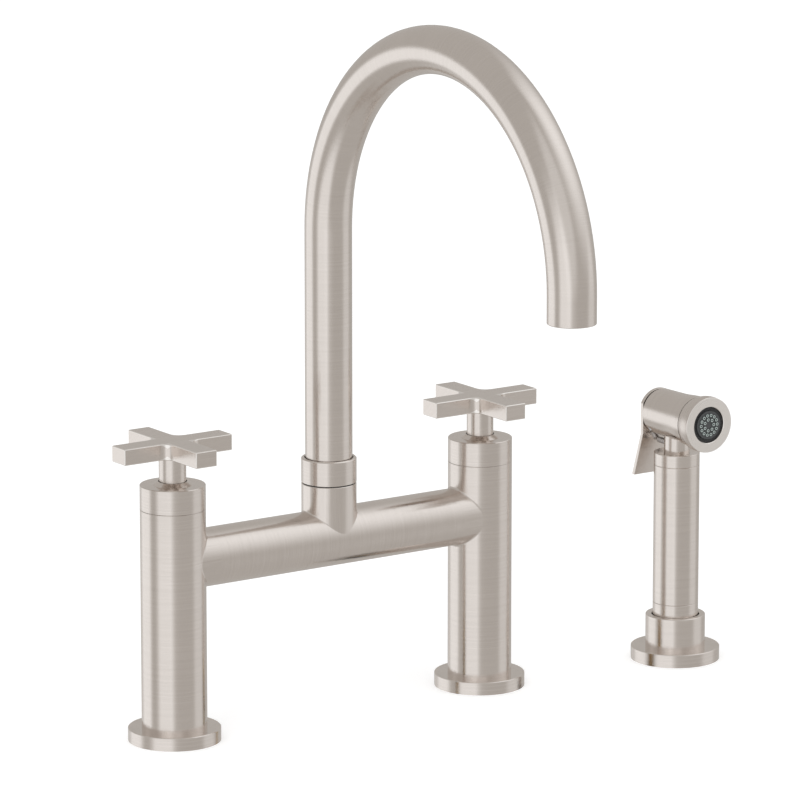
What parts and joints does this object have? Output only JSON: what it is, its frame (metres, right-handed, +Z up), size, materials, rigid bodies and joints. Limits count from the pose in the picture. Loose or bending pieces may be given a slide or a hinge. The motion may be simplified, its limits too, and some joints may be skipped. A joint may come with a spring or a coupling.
{
  "type": "bridge kitchen faucet",
  "caption": "Deck-mounted bridge kitchen faucet in brushed nickel with cross handles, a swivelling gooseneck spout and a separate side spray in its own holder.",
  "frame": {"origin": "on the top face of the deck, midway between the axes of the two legs", "axes": "+Z up out of the deck, +X from the hot leg to the cold leg and the side spray, -Y toward the user, the way the spout reaches"},
  "size_m": [0.3887, 0.2722, 0.4608],
  "materials": {
    "nickel": "brushed satin nickel over brass",
    "brass": "machined",
    "steel": "machined",
    "ceramic": "lapped",
    "black_rubber": "matte",
    "white_plastic": "moulded",
    "grey_plastic": "moulded",
    "nozzle_rubber": "satin"
  },
  "bodies": {
    "body": {"hot_escutcheon": "nickel", "cold_escutcheon": "nickel", "spray_escutcheon": "nickel", "hot_leg": "nickel", "cold_leg": "nickel", "hot_bridge_tube": "nickel", "cold_bridge_tube": "nickel", "spout_tee": "nickel", "hot_cap": "nickel", "cold_cap": "nickel", "spray_holder": "nickel", "hot_shank": "brass", "cold_shank": "brass", "lock_nuts": "brass", "spray_lock_nut": "brass", "hot_cartridge": "brass", "cold_cartridge": "brass", "diverter_body": "brass", "steel_washers": "steel", "spout_set_screw": "steel", "hot_fixed_disc": "ceramic", "cold_fixed_disc": "ceramic", "deck_gaskets": "black_rubber", "rubber_washers": "black_rubber", "spray_rubber_washer": "black_rubber", "cartridge_seals": "black_rubber", "spindle_o_rings": "black_rubber", "spray_liner": "white_plastic", "thrust_washer": "grey_plastic"},
    "hot_control": {"hot_handle": "nickel", "hot_set_screw": "steel", "hot_spindle": "brass", "hot_turning_disc": "ceramic"},
    "cold_control": {"cold_handle": "nickel", "cold_set_screw": "steel", "cold_spindle": "brass", "cold_turning_disc": "ceramic"},
    "spout": {"spout_tube": "nickel", "spout_collar": "nickel", "spout_post": "brass", "spout_o_rings": "black_rubber", "aerator_housing": "white_plastic", "aerator_insert": "white_plastic", "aerator_seal": "black_rubber"},
    "diverter": {"diverter_plunger": "white_plastic"},
    "handset": {"handset_foot": "nickel", "handset_tube": "nickel", "handset_top_ring": "nickel", "handset_head": "nickel", "handset_bezel": "nickel", "face_seal": "black_rubber", "nozzle_plate": "grey_plastic", "nozzle_mat": "nozzle_rubber", "hose_nipple": "brass", "stem_gland": "steel", "lever_pin": "steel", "return_spring": "steel"},
    "trigger": {"spray_lever": "nickel"},
    "valve": {"valve_stem": "steel", "valve_o_ring": "black_rubber"}
  },
  "joints": [
    {"name": "hot_handle_turn", "type": "hinge", "parent": "body", "child": "hot_control", "pos_m": [-0.1016, 0, 0.15], "axis": [0, 0, 1], "range_deg": [0, 90]},
    {"name": "cold_handle_turn", "type": "hinge", "parent": "body", "child": "cold_control", "pos_m": [0.1016, 0, 0.15], "axis": [0, 0, -1], "range_deg": [0, 90]},
    {"name": "spout_swivel", "type": "hinge", "parent": "body", "child": "spout", "pos_m": [0, 0, 0.13], "axis": [0, 0, 1], "continuous": true},
    {"name": "diverter_lift", "type": "slide", "parent": "body", "child": "diverter", "axis": [0, 0, 1], "range_m": [0, 0.0025]},
    {"name": "handset_lift", "type": "slide", "parent": "body", "child": "handset", "axis": [0, 0, 1], "range_m": [0, 0.06]},
    {"name": "trigger_press", "type": "hinge", "parent": "handset", "child": "trigger", "pos_m": [0.2276, -0.003, 0.133], "axis": [-1, 0, 0], "range_deg": [0, 10], "stiffness_Nm_per_rad": 0.3, "springref_deg": -5.73},
    {"name": "valve_push", "type": "slide", "parent": "handset", "child": "valve", "axis": [0, -1, 0], "range_m": [0, 0.0016], "deforming": ["return_spring"]}
  ],
  "couplings": [
    {"joint": "valve_push", "follows": "trigger_press", "m_per_rad": 0.0084}
  ]
}
